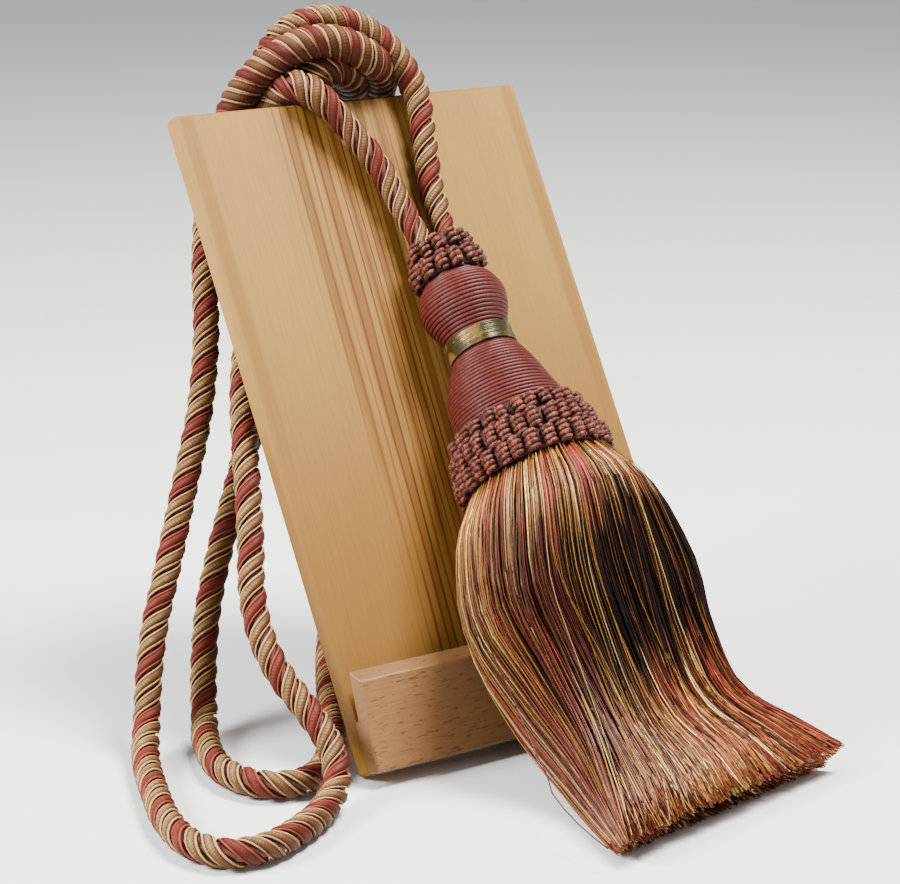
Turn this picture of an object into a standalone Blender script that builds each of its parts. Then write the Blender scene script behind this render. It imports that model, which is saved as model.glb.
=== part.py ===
"""Curtain tieback tassel hung over a leaning wooden display stand.

Metres, +Z up.  The origin is the middle of the stand foot's flat underside, on the table top.
The board faces -Y and leans back; the rope hangs down its left side (-X) and the tassel lies
on its face with the fringe fanned out on the table.
"""
import math
import random

import bpy
import bmesh
import numpy as np
from mathutils import Matrix, Vector
from mathutils.geometry import delaunay_2d_cdt

MM = 0.001
GAP = 0.3                       # clearance between neighbouring pieces, mm

# ---- display stand, mm -------------------------------------------------------------------
BOARD_WIDTH = 180.0
BOARD_HEIGHT = 294.0            # along its slope
BOARD_THICKNESS = 9.0
BOARD_LEAN = math.radians(30.7)  # from the vertical
BOARD_BEVEL = 1.2
TOE_Y = -62.0                   # lower back edge of the board, on the table
# ledge section: distance up the board's slope, distance out of its face
LEDGE_SECTION = ((0.0, GAP), (-1.2, 7.4), (36.6, 14.1), (42.3, 7.4), (22.0, 3.2), (22.0, GAP))
LEDGE_BEVEL = 0.6
FOOT_WIDTH = 40.0
FOOT_LENGTH = 104.0             # along Y, centred on the origin
FOOT_HEIGHT = 78.0
FOOT_TIP = 8.0                  # height of the foot's rear end

# ---- rope, mm ----------------------------------------------------------------------------
ROPE_CREST = 6.1                # radius over the three plies
ROPE_VALLEY = 3.5               # radius at the grooves between them
ROPE_PITCH = 30.0               # length of one turn of the twist
ROPE_STEPS = 6                  # sections in one turn
CREST_HALF = math.radians(22.0)
ROPE_END_TAPER = 24.0           # the plies close up over this length where they enter the head
ROPE_END_SCALE = 0.84
ROUTE = (
    # out of the head, up the board's face and over its top edge
    (6.3, 27.5, 194.5), (4.6, 37.5, 205.0), (1.9, 48.3, 219.2), (-2.6, 56.5, 232.7),
    (-10.2, 63.8, 245.6), (-19.5, 72.0, 259.0), (-27.5, 82.5, 265.2), (-31.5, 94.5, 256.5),
    # down behind the board and out beside its left edge
    (-36.0, 98.5, 236.0), (-50.0, 84.0, 205.0), (-67.0, 60.0, 170.0), (-83.5, 37.5, 143.0),
    (-92.5, 21.5, 125.0), (-98.5, 9.5, 110.5), (-106.0, -5.0, 91.0), (-113.0, -17.0, 74.0),
    (-116.5, -30.0, 58.0), (-115.5, -43.0, 45.0), (-111.5, -57.0, 33.5), (-109.5, -71.0, 22.5),
    # front loop on the table
    (-114.0, -83.0, 11.5), (-127.0, -94.0, 6.8), (-146.0, -106.0, 6.6), (-164.0, -113.0, 6.6),
    (-179.5, -110.5, 6.6), (-187.0, -95.0, 6.6), (-184.5, -72.0, 6.6), (-173.5, -40.0, 6.8),
    # back up on the far left and in behind the board
    (-160.0, -8.0, 8.0), (-150.0, 9.0, 15.0), (-144.0, 17.5, 30.0), (-136.5, 25.0, 50.0),
    (-126.0, 32.0, 71.5), (-112.0, 41.0, 102.0), (-97.5, 50.5, 134.5), (-87.0, 62.0, 163.0),
    (-79.0, 76.0, 192.0), (-65.0, 93.5, 225.0),
    # middle arch over the top edge, left to right
    (-50.0, 103.5, 248.0), (-42.5, 98.0, 264.5), (-31.5, 90.5, 277.0), (-18.0, 84.5, 283.5),
    (-3.0, 79.5, 282.0), (9.0, 77.0, 274.5), (20.5, 86.5, 266.0), (27.0, 99.5, 254.5),
    (29.5, 106.0, 235.0),
    # straight down behind the board
    (28.0, 107.0, 200.0), (20.0, 106.0, 150.0), (12.0, 103.0, 105.0), (4.0, 97.0, 66.0),
    (-8.0, 85.0, 30.0), (-25.0, 64.0, 9.5), (-43.0, 36.0, 6.6), (-61.0, 6.0, 6.6),
    # inner loop on the table, under the front loop
    (-81.0, -27.0, 6.6), (-103.0, -55.5, 6.6), (-120.0, -65.0, 6.6), (-134.0, -58.0, 6.6),
    (-139.5, -38.5, 6.6), (-131.5, -9.0, 6.9), (-120.0, 13.0, 9.5), (-112.0, 27.0, 26.0),
    # up behind the board again
    (-105.0, 35.0, 48.0), (-95.0, 41.0, 72.0), (-80.0, 48.8, 101.0), (-58.0, 63.0, 142.0),
    (-37.0, 84.0, 190.0), (-17.0, 98.0, 230.0),
    # lowest arch, under the middle one, and round behind it
    (-20.5, 100.5, 245.0), (-18.6, 92.3, 261.4), (-11.0, 85.8, 271.2), (0.5, 86.8, 270.0),
    (8.5, 92.3, 265.0), (13.0, 102.5, 258.0), (9.0, 113.5, 251.0), (-3.0, 119.0, 249.5),
    (-17.0, 117.5, 258.0),
    # outer arch, over the other two
    (-26.5, 107.5, 273.0), (-22.5, 98.8, 286.5), (-10.0, 93.1, 292.0), (4.8, 87.8, 290.2),
    (17.6, 82.1, 281.5), (26.6, 76.7, 268.8), (29.5, 70.8, 256.8),
    # down the board's face into the head
    (25.8, 60.0, 239.3), (21.8, 49.0, 220.4), (20.3, 40.0, 208.5), (17.4, 29.5, 196.8),
)

# ---- tassel head, mm along and around its own axis ---------------------------------------
HEAD_TOP = (11.2, 29.7, 199.2)  # where the rope enters
HEAD_LEAN = math.radians(41.5)  # of the axis from the vertical
HEAD_TURN = math.radians(0.6)
HEAD_SIDES = 28
# distance down the axis, radius, shift to +X: the cone sits a little off its axis
MOULD_PROFILE = ((6.5, 9.0, 0.0), (8.0, 10.6, 0.0), (18.0, 11.2, 0.0), (21.0, 13.8, 0.0),
                 (25.0, 17.3, 0.0), (30.0, 19.3, 0.0), (34.0, 19.6, 0.0), (39.0, 18.6, 0.0),
                 (44.0, 16.4, 0.0), (48.5, 14.3, 0.0), (58.0, 14.3, 0.0), (61.0, 16.4, -0.4),
                 (67.0, 19.4, -1.2), (74.0, 22.0, -1.6), (82.0, 24.0, -1.3), (90.0, 26.0, -0.5),
                 (95.0, 26.6, 0.0), (112.5, 27.2, 0.0))
BAND_START = 49.2
BAND_END = 57.4
BAND_RADIUS = 15.5

# rows of looped cord: start and end down the axis, inner radius, outer radius, loops
RUFF_ROWS = {
    "top_ruff_upper": (1.0, 10.6, 11.6, 15.4, 14),
    "top_ruff_lower": (11.0, 20.6, 14.2, 17.6, 16),
    "ruff_row_1": (91.0, 99.6, 27.6, 31.6, 28),
    "ruff_row_2": (100.0, 108.8, 27.9, 34.4, 30),
    "ruff_row_3": (109.2, 118.8, 29.2, 36.2, 32),
}
RUFF_VALLEY = 1.7               # depth of the grooves between the loops
# outer side of a ruff: share of its height, distance in from its outer radius, and how much of
# a groove's depth it moves down the axis there
RUFF_SIDE = ((0.0, 1.6, 0.5), (0.35, 0.0, 0.0), (0.75, 0.0, 0.0), (1.0, 1.8, -0.4))
RUFF_BACK = (0.12, 0.88)        # shares of the height where the inner side starts and ends
BOARD_CLEAR = 0.5               # the soft loops flatten against the board, this far off it

# ---- fringe, mm --------------------------------------------------------------------------
PLUG_START = 112.9              # the backing that holds the strands, down the head's axis
PLUG_END = 118.6
PLUG_RADIUS = 28.8
CUT_TOLERANCE = 1e-5            # of the cuts round the strands' roots
STRAND_COUNT = 160
STRAND_SPREAD = 0.6180339887    # golden-ratio spacing keeps the strands apart in every section
STRAND_SIDES = 3
STRAND_TIMES = (0.0, 0.14, 0.32, 0.52, 0.76, 1.0)
STRAND_ROOT_RADIUS = 0.7
STRAND_RADIUS = 1.0
STRAND_TIP_RADIUS = 0.7
STRAND_RAGGED = 0.03            # share of the length by which the ends differ
UNDER_SHORT = 0.07              # the lowest strands end shorter by this share
FLOOR_CLEAR = 0.15
# sections of the bundle of strands from the plug to the ends: centre, half width, half
# thickness, turn of the width line about Z, lean of the thickness line, roundness
FRINGE_COLUMNS = ("x", "y", "z", "half_width", "half_depth", "turn", "lean", "round")
FRINGE_SECTIONS = (
    (9.8, -48.8, 110.3, 26.5, 26.5, 0.0, 48.5, 1.0),
    (7.9, -65.8, 94.8, 47.7, 35.8, 0.0, 45.0, 1.0),
    (5.0, -88.6, 66.6, 55.4, 31.1, 0.0, 40.0, 0.8),
    (5.6, -109.5, 39.8, 48.3, 27.1, 2.0, 33.0, 0.5),
    (5.7, -137.6, 20.1, 45.2, 19.0, 5.0, 22.0, 0.2),
    (4.7, -163.7, 9.4, 58.9, 7.8, 9.0, 8.0, 0.0),
    (12.5, -184.0, 6.6, 68.2, 5.0, 11.4, 0.0, 0.0),
)

COLOURS = {
    "pine": ((0.60, 0.42, 0.23), 0.6),
    "rope": ((0.52, 0.33, 0.20), 0.8),
    "wound_cord": ((0.45, 0.13, 0.09), 0.7),
    "gold_thread": ((0.40, 0.28, 0.10), 0.45),
    "looped_cord": ((0.40, 0.16, 0.11), 0.8),
    "fringe": ((0.50, 0.27, 0.16), 0.7),
}


def clear_scene():
    """Start from an empty scene."""
    for item in list(bpy.data.objects):
        bpy.data.objects.remove(item, do_unlink=True)


def material(name):
    """Principled material of one of the named colours."""
    found = bpy.data.materials.get(name)
    if found:
        return found
    colour, roughness = COLOURS[name]
    made = bpy.data.materials.new(name)
    made.use_nodes = True
    shader = made.node_tree.nodes["Principled BSDF"]
    shader.inputs["Base Color"].default_value = (*colour, 1.0)
    shader.inputs["Roughness"].default_value = roughness
    shader.inputs["Metallic"].default_value = 0.0
    return made


def add_object(name, points, faces, look, smooth=True):
    """One closed mesh object; points are in mm."""
    mesh = bpy.data.meshes.new(name)
    mesh.from_pydata([Vector(p) * MM for p in points], [], faces)
    shape = bmesh.new()
    shape.from_mesh(mesh)
    bmesh.ops.recalc_face_normals(shape, faces=shape.faces)
    shape.to_mesh(mesh)
    shape.free()
    if smooth:
        mesh.shade_smooth()
        mesh.set_sharp_from_angle(angle=math.radians(50.0))
    item = bpy.data.objects.new(name, mesh)
    item.data.materials.append(material(look))
    bpy.context.collection.objects.link(item)
    return item


def ring_faces(rings, sides, start=0):
    """Quads between successive rings of points."""
    faces = []
    for ring in range(rings - 1):
        low = start + ring * sides
        high = low + sides
        for side in range(sides):
            after = (side + 1) % sides
            faces.append((low + side, low + after, high + after, high + side))
    return faces


def smooth_route(route, per_span=24):
    """Centripetal Catmull-Rom curve through the route's points."""
    knots = np.array(route, float)
    knots = np.vstack([2 * knots[0] - knots[1], knots, 2 * knots[-1] - knots[-2]])
    pieces = []
    for index in range(1, len(knots) - 2):
        quad = knots[index - 1:index + 3]
        times = np.concatenate([[0.0], np.cumsum(np.sqrt(np.linalg.norm(np.diff(quad, axis=0), axis=1)))])
        at = np.linspace(times[1], times[2], per_span, endpoint=False)[:, None]
        level = [quad[k] + (at - times[k]) / (times[k + 1] - times[k]) * (quad[k + 1] - quad[k])
                 for k in range(3)]
        pair = [level[k] + (at - times[k]) / (times[k + 2] - times[k]) * (level[k + 1] - level[k])
                for k in range(2)]
        pieces.append(pair[0] + (at - times[1]) / (times[2] - times[1]) * (pair[1] - pair[0]))
    pieces.append(knots[-2:-1])
    return np.vstack(pieces)


def even_points(curve, step):
    """The curve's points at an even spacing near step, and the distance of each."""
    run = np.concatenate([[0.0], np.cumsum(np.linalg.norm(np.diff(curve, axis=0), axis=1))])
    count = int(round(run[-1] / step))
    at = np.linspace(0.0, run[-1], count + 1)
    return np.stack([np.interp(at, run, curve[:, axis]) for axis in range(3)], axis=1), at


def rope_centre(step):
    """Centre line of the rope, eased between its route's points."""
    fine, _ = even_points(smooth_route(ROUTE), 2.0)
    for _ in range(4):
        fine[1:-1] = 0.25 * fine[:-2] + 0.5 * fine[1:-1] + 0.25 * fine[2:]
    return even_points(fine, step)


def carried_frames(points):
    """Two unit vectors across the curve at each point, carried along without twist."""
    tangents = np.gradient(points, axis=0)
    tangents /= np.linalg.norm(tangents, axis=1)[:, None]
    side = np.cross(tangents[0], (0.0, 0.0, 1.0))
    side /= np.linalg.norm(side)
    sides = [side]
    for tangent in tangents[1:]:
        side = side - tangent * side.dot(tangent)
        side /= np.linalg.norm(side)
        sides.append(side)
    sides = np.array(sides)
    return sides, np.cross(tangents, sides)


def rope_section():
    """Angles and radii round the rope: two points on each ply's crest, one in each groove."""
    section = []
    for ply in range(3):
        middle = ply * math.tau / 3.0
        section.append((middle - CREST_HALF, ROPE_CREST))
        section.append((middle + CREST_HALF, ROPE_CREST))
        section.append((middle + math.pi / 3.0, ROPE_VALLEY))
    return section


def build_rope():
    """Three-ply twisted rope with both ends in the tassel's head."""
    points, distance = rope_centre(ROPE_PITCH / ROPE_STEPS)
    side, other = carried_frames(points)
    section = rope_section()
    vertices = []
    for index, centre in enumerate(points):
        near_end = min(distance[index], distance[-1] - distance[index])
        scale = ROPE_END_SCALE + (1.0 - ROPE_END_SCALE) * min(1.0, near_end / ROPE_END_TAPER)
        turn = math.tau * distance[index] / ROPE_PITCH
        for angle, radius in section:
            across = side[index] * math.cos(angle + turn) + other[index] * math.sin(angle + turn)
            vertices.append(centre + across * radius * scale)
    faces = ring_faces(len(points), len(section))
    faces.append(tuple(range(len(section))))
    faces.append(tuple(range(len(vertices) - len(section), len(vertices))))
    return add_object("tie_rope", vertices, faces, "rope")


def board_point(x, along, out):
    """Point at a height up the board's slope and a distance out of its front face."""
    sine, cosine = math.sin(BOARD_LEAN), math.cos(BOARD_LEAN)
    depth = BOARD_THICKNESS + out
    return (x, TOE_Y + along * sine - depth * cosine, along * cosine + depth * sine)


def prism(name, section, half_width, bevel):
    """Section of (y, z) points run along X, with eased edges."""
    points = [(-half_width, y, z) for y, z in section] + [(half_width, y, z) for y, z in section]
    count = len(section)
    faces = ring_faces(2, count)
    faces.append(tuple(range(count)))
    faces.append(tuple(range(count, 2 * count)))
    item = add_object(name, points, faces, "pine", smooth=False)
    if bevel:
        ease = item.modifiers.new("eased_edges", "BEVEL")
        ease.width = bevel * MM
        ease.segments = 1
        ease.limit_method = "ANGLE"
    return item


def build_stand():
    """Leaning board, its front ledge and the foot behind it."""
    half = BOARD_WIDTH / 2.0
    board = [board_point(0, 0.0, 0.0), board_point(0, BOARD_HEIGHT, 0.0),
             board_point(0, BOARD_HEIGHT, -BOARD_THICKNESS), board_point(0, 0.0, -BOARD_THICKNESS)]
    prism("stand_board", [p[1:] for p in board], half, BOARD_BEVEL)
    ledge = [board_point(0, along, out)[1:] for along, out in LEDGE_SECTION]
    prism("stand_ledge", ledge, half, LEDGE_BEVEL)
    # the foot's sloping side lies against the back of the board
    slope = math.tan(BOARD_LEAN)
    toe = -FOOT_LENGTH / 2.0
    height_at_toe = (toe - TOE_Y) / slope
    back = GAP / math.cos(BOARD_LEAN)
    foot = [(toe, 0.0), (FOOT_LENGTH / 2.0, 0.0), (FOOT_LENGTH / 2.0, FOOT_TIP),
            (TOE_Y + FOOT_HEIGHT * slope + back, FOOT_HEIGHT), (toe, height_at_toe - back / slope)]
    prism("stand_foot", foot, FOOT_WIDTH / 2.0, 0.0)


def head_axis():
    """Empty at the top of the tassel's head, its -Z down the head."""
    axis = bpy.data.objects.new("head_axis", None)
    axis.location = Vector(HEAD_TOP) * MM
    axis.rotation_euler = (-HEAD_LEAN, HEAD_TURN, 0.0)
    axis.empty_display_size = 0.02
    bpy.context.collection.objects.link(axis)
    return axis


def head_placing(axis):
    """Matrix from the head's own axes to the stand's, in mm."""
    return Matrix.Translation(Vector(HEAD_TOP)) @ axis.rotation_euler.to_matrix().to_4x4()


def turned(name, profile, look, axis, closed=False):
    """Profile of (distance down the axis, radius, shift) turned about the head's axis."""
    points = []
    for down, radius, shift in profile:
        for side in range(HEAD_SIDES):
            angle = math.tau * side / HEAD_SIDES
            points.append((radius * math.cos(angle) + shift, radius * math.sin(angle), -down))
    faces = ring_faces(len(profile), HEAD_SIDES)
    last = (len(profile) - 1) * HEAD_SIDES
    if closed:
        for side in range(HEAD_SIDES):
            after = (side + 1) % HEAD_SIDES
            faces.append((last + side, last + after, after, side))
    else:
        faces.append(tuple(range(HEAD_SIDES)))
        faces.append(tuple(range(last, last + HEAD_SIDES)))
    item = add_object(name, points, faces, look)
    item.parent = axis
    return item


def build_head(axis):
    """Wound mould and the gold band round its waist."""
    turned("head_mould", MOULD_PROFILE, "wound_cord", axis)
    inner = MOULD_PROFILE[9][1] + GAP
    band = ((BAND_START, inner, 0.0), (BAND_START, BAND_RADIUS, 0.0),
            (BAND_END, BAND_RADIUS, 0.0), (BAND_END, inner, 0.0))
    turned("waist_band", band, "gold_thread", axis, closed=True)


def flattened_on_board(point, to_head):
    """Point of the head moved out of the board where it would sink into it."""
    world = to_head @ Vector(point)
    outward = Vector((0.0, -math.cos(BOARD_LEAN), math.sin(BOARD_LEAN)))
    distance = (world - Vector(board_point(0, 0, 0))).dot(outward)
    if distance < BOARD_CLEAR:
        world += outward * (BOARD_CLEAR - distance)
    return to_head.inverted() @ world


def ruff_section(start, end, inner, outer, groove):
    """Section of a ruff, (distance down the axis, radius), at a loop or a groove."""
    height = end - start
    section = [(start + RUFF_BACK[0] * height, inner)]
    for share, inset, moved in RUFF_SIDE:
        section.append((start + share * height + moved * groove, outer - inset - groove))
    section.append((start + RUFF_BACK[1] * height, inner))
    return section


def build_ruff(name, axis):
    """Closed ring of upright cord loops, its outer side raised in one lobe for each loop."""
    start, end, inner, outer, loops = RUFF_ROWS[name]
    to_head = head_placing(axis)
    points = []
    steps = 2 * loops
    for step in range(steps):
        angle = math.tau * step / steps
        groove = RUFF_VALLEY if step % 2 else 0.0
        for down, radius in ruff_section(start, end, inner, outer, groove):
            point = (radius * math.cos(angle), radius * math.sin(angle), -down)
            points.append(flattened_on_board(point, to_head))
    sides = len(RUFF_SIDE) + len(RUFF_BACK)
    faces = ring_faces(steps, sides)
    last = (steps - 1) * sides
    for side in range(sides):
        after = (side + 1) % sides
        faces.append((last + side, last + after, after, side))
    item = add_object(name, points, faces, "looped_cord")
    item.parent = axis
    return item


def fringe_section(time):
    """Section of the bundle at a share of its length, eased between the table's rows."""
    rows = np.array(FRINGE_SECTIONS, float)
    place = time * (len(rows) - 1)
    index = min(int(place), len(rows) - 2)
    part = place - index
    before = rows[max(index - 1, 0)]
    after = rows[min(index + 2, len(rows) - 1)]
    low, high = rows[index], rows[index + 1]
    slope_low = (high - before) * (0.5 if index else 1.0)
    slope_high = (after - low) * (0.5 if index + 2 < len(rows) else 1.0)
    cube, square = part ** 3, part ** 2
    values = ((2 * cube - 3 * square + 1) * low + (cube - 2 * square + part) * slope_low
              + (3 * square - 2 * cube) * high + (cube - square) * slope_high)
    return dict(zip(FRINGE_COLUMNS, values))


def disc_from_square(u, v):
    """Point of the unit disc that matches a point of the square from -1 to 1."""
    if u == 0.0 and v == 0.0:
        return 0.0, 0.0
    if abs(u) > abs(v):
        radius, angle = u, (math.pi / 4.0) * (v / u)
    else:
        radius, angle = v, math.pi / 2.0 - (math.pi / 4.0) * (u / v)
    return radius * math.cos(angle), radius * math.sin(angle)


def strand_point(time, u, v):
    """Place in the bundle at a share of its length, mm."""
    cut = fringe_section(time)
    disc_x, disc_y = disc_from_square(u, v)
    roundness = min(1.0, max(0.0, cut["round"]))
    x = disc_x * roundness + u * (1.0 - roundness)
    y = disc_y * roundness + v * (1.0 - roundness)
    turn, lean = math.radians(cut["turn"]), math.radians(cut["lean"])
    width = np.array((math.cos(turn), math.sin(turn), 0.0))
    depth = np.array((0.0, -math.sin(lean), math.cos(lean)))
    centre = np.array((cut["x"], cut["y"], cut["z"]))
    return centre + width * cut["half_width"] * x + depth * cut["half_depth"] * y


def strand_radius(time):
    """Half thickness of a strand at a share of its length."""
    return float(np.interp(time, (0.0, 0.2, 0.8, 1.0),
                           (STRAND_ROOT_RADIUS, STRAND_RADIUS, STRAND_RADIUS, STRAND_TIP_RADIUS)))


def strand_places():
    """Strands spread evenly over the square, uneven in length and shorter underneath."""
    chance = random.Random(7)
    places = []
    for number in range(STRAND_COUNT):
        u = 2.0 * (number + 0.5) / STRAND_COUNT - 1.0
        v = 2.0 * (number * STRAND_SPREAD % 1.0) - 1.0
        reach = 1.0 - chance.uniform(0.0, STRAND_RAGGED) - UNDER_SHORT * (1.0 - v) / 2.0
        places.append((u, v, reach))
    return places


def strand_rings(u, v, reach):
    """Rings of points along one strand."""
    centres = np.array([strand_point(time * reach, u, v) for time in STRAND_TIMES])
    across, upward = carried_frames(centres)
    rings = []
    for index, time in enumerate(STRAND_TIMES):
        radius = strand_radius(time)
        centre = centres[index].copy()
        centre[2] = max(centre[2], radius + FLOOR_CLEAR)
        ring = []
        for side in range(STRAND_SIDES):
            angle = math.tau * side / STRAND_SIDES
            spoke = across[index] * math.cos(angle) + upward[index] * math.sin(angle)
            ring.append(centre + radius * spoke)
        rings.append(ring)
    return rings


def backing_floor(rim, strands, from_head):
    """Lower face of the backing, cut round the strands' roots.

    Gives its points, its triangles and the new number of each rim and root point.
    """
    flat = list(rim)
    outlines = [list(range(len(rim)))]
    for rings in strands:
        first = len(flat)
        for point in rings[0]:
            local = from_head @ Vector(point)
            flat.append(Vector((local.x, local.y)))
        outlines.append([first + k for k in reversed(range(STRAND_SIDES))])
    cut = delaunay_2d_cdt(flat, [], outlines, 1, CUT_TOLERANCE)
    points, triangles, origin_points, origin_faces = cut[0], cut[2], cut[3], cut[5]
    place_of = {old: new for new, olds in enumerate(origin_points) for old in olds}
    faces = [tuple(tri) for tri, owners in zip(triangles, origin_faces) if tuple(owners) == (0,)]
    return points, faces, place_of


def build_fringe(axis):
    """Backing plug with every strand grown out of its lower face."""
    to_head = head_placing(axis)
    strands = [strand_rings(*place) for place in strand_places()]
    bearings = [math.tau * k / HEAD_SIDES for k in range(HEAD_SIDES)]
    rim = [PLUG_RADIUS * Vector((math.cos(b), math.sin(b))) for b in bearings]
    floor_points, faces, place_of = backing_floor(rim, strands, to_head.inverted())
    vertices = [to_head @ Vector((p.x, p.y, -PLUG_END)) for p in floor_points]
    top_start = len(vertices)
    for x, y in rim:
        vertices.append(to_head @ Vector((x, y, -PLUG_START)))
    for side in range(HEAD_SIDES):
        after = (side + 1) % HEAD_SIDES
        faces.append((place_of[side], place_of[after], top_start + after, top_start + side))
    faces.append(tuple(range(top_start, top_start + HEAD_SIDES)))
    for number, rings in enumerate(strands):
        root = [place_of[HEAD_SIDES + number * STRAND_SIDES + k] for k in range(STRAND_SIDES)]
        start = len(vertices)
        for ring in rings[1:]:
            vertices.extend(Vector(p) for p in ring)
        for side in range(STRAND_SIDES):
            after = (side + 1) % STRAND_SIDES
            faces.append((root[side], root[after], start + after, start + side))
        faces.extend(ring_faces(len(rings) - 1, STRAND_SIDES, start))
        faces.append(tuple(range(len(vertices) - STRAND_SIDES, len(vertices))))
    return add_object("fringe", vertices, faces, "fringe")


def main():
    clear_scene()
    build_stand()
    build_rope()
    axis = head_axis()
    build_head(axis)
    for name in RUFF_ROWS:
        build_ruff(name, axis)
    build_fringe(axis)


main()
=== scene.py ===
"""Looks of the curtain tieback tassel on its display stand.

Lengths are in millimetres, turned into metres where a mesh or a lamp is made.  The frame's
origin is the middle of the stand foot's underside, the board faces -Y and leans back.
"""

import math

import bpy
import numpy as np
from mathutils import Euler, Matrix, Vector


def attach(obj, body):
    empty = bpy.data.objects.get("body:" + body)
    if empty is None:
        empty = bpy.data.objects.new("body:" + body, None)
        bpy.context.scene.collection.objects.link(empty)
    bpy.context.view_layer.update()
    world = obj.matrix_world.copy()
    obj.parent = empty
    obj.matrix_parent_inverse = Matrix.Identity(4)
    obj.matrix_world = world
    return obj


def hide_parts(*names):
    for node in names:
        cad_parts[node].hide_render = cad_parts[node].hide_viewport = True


MM = 0.001

# ---- camera, metres and degrees ----
CAMERA_PLACE = (-0.66358, -0.95615, 0.43175)
CAMERA_AZIMUTH = -34.7
CAMERA_ELEVATION = 15.16
CAMERA_LENS = 110.34
SENSOR = 36.0

# ---- lights, metres and watts ----
LIGHT_TARGET = (0.0, -0.03, 0.12)
# place, width, power, colour
LIGHTS = {
    "key": ((0.42, -0.24, 1.5), 0.55, 79.0, (1.0, 0.97, 0.93)),
    "window": ((-1.25, 0.3, 1.0), 0.6, 60.0, (0.97, 0.98, 1.0)),
}
ROOM_COLOUR = (0.80, 0.82, 0.86, 1.0)
ROOM_STRENGTH = 0.46

# ---- stand and table, mm ----
BOARD_LEAN = math.radians(30.7)
BOARD_WIDTH = 180.0
BOARD_THICKNESS = 9.0
TOE_Y = -62.0
# painted shade of the board's rounded edges: a darker strip near its sides
SHADED_STRIP_INSET = 5.5                # middle of the darker strip, in from the board's side
RING_SPACING = 3.6              # between dark grain lines
STRIPE_SPACING = 9.7            # between warm stripes
TABLE_HALF = 3000.0

# ---- rope, mm ----
LAY_STEPS = 15                  # rings in one turn of the twist
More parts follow.
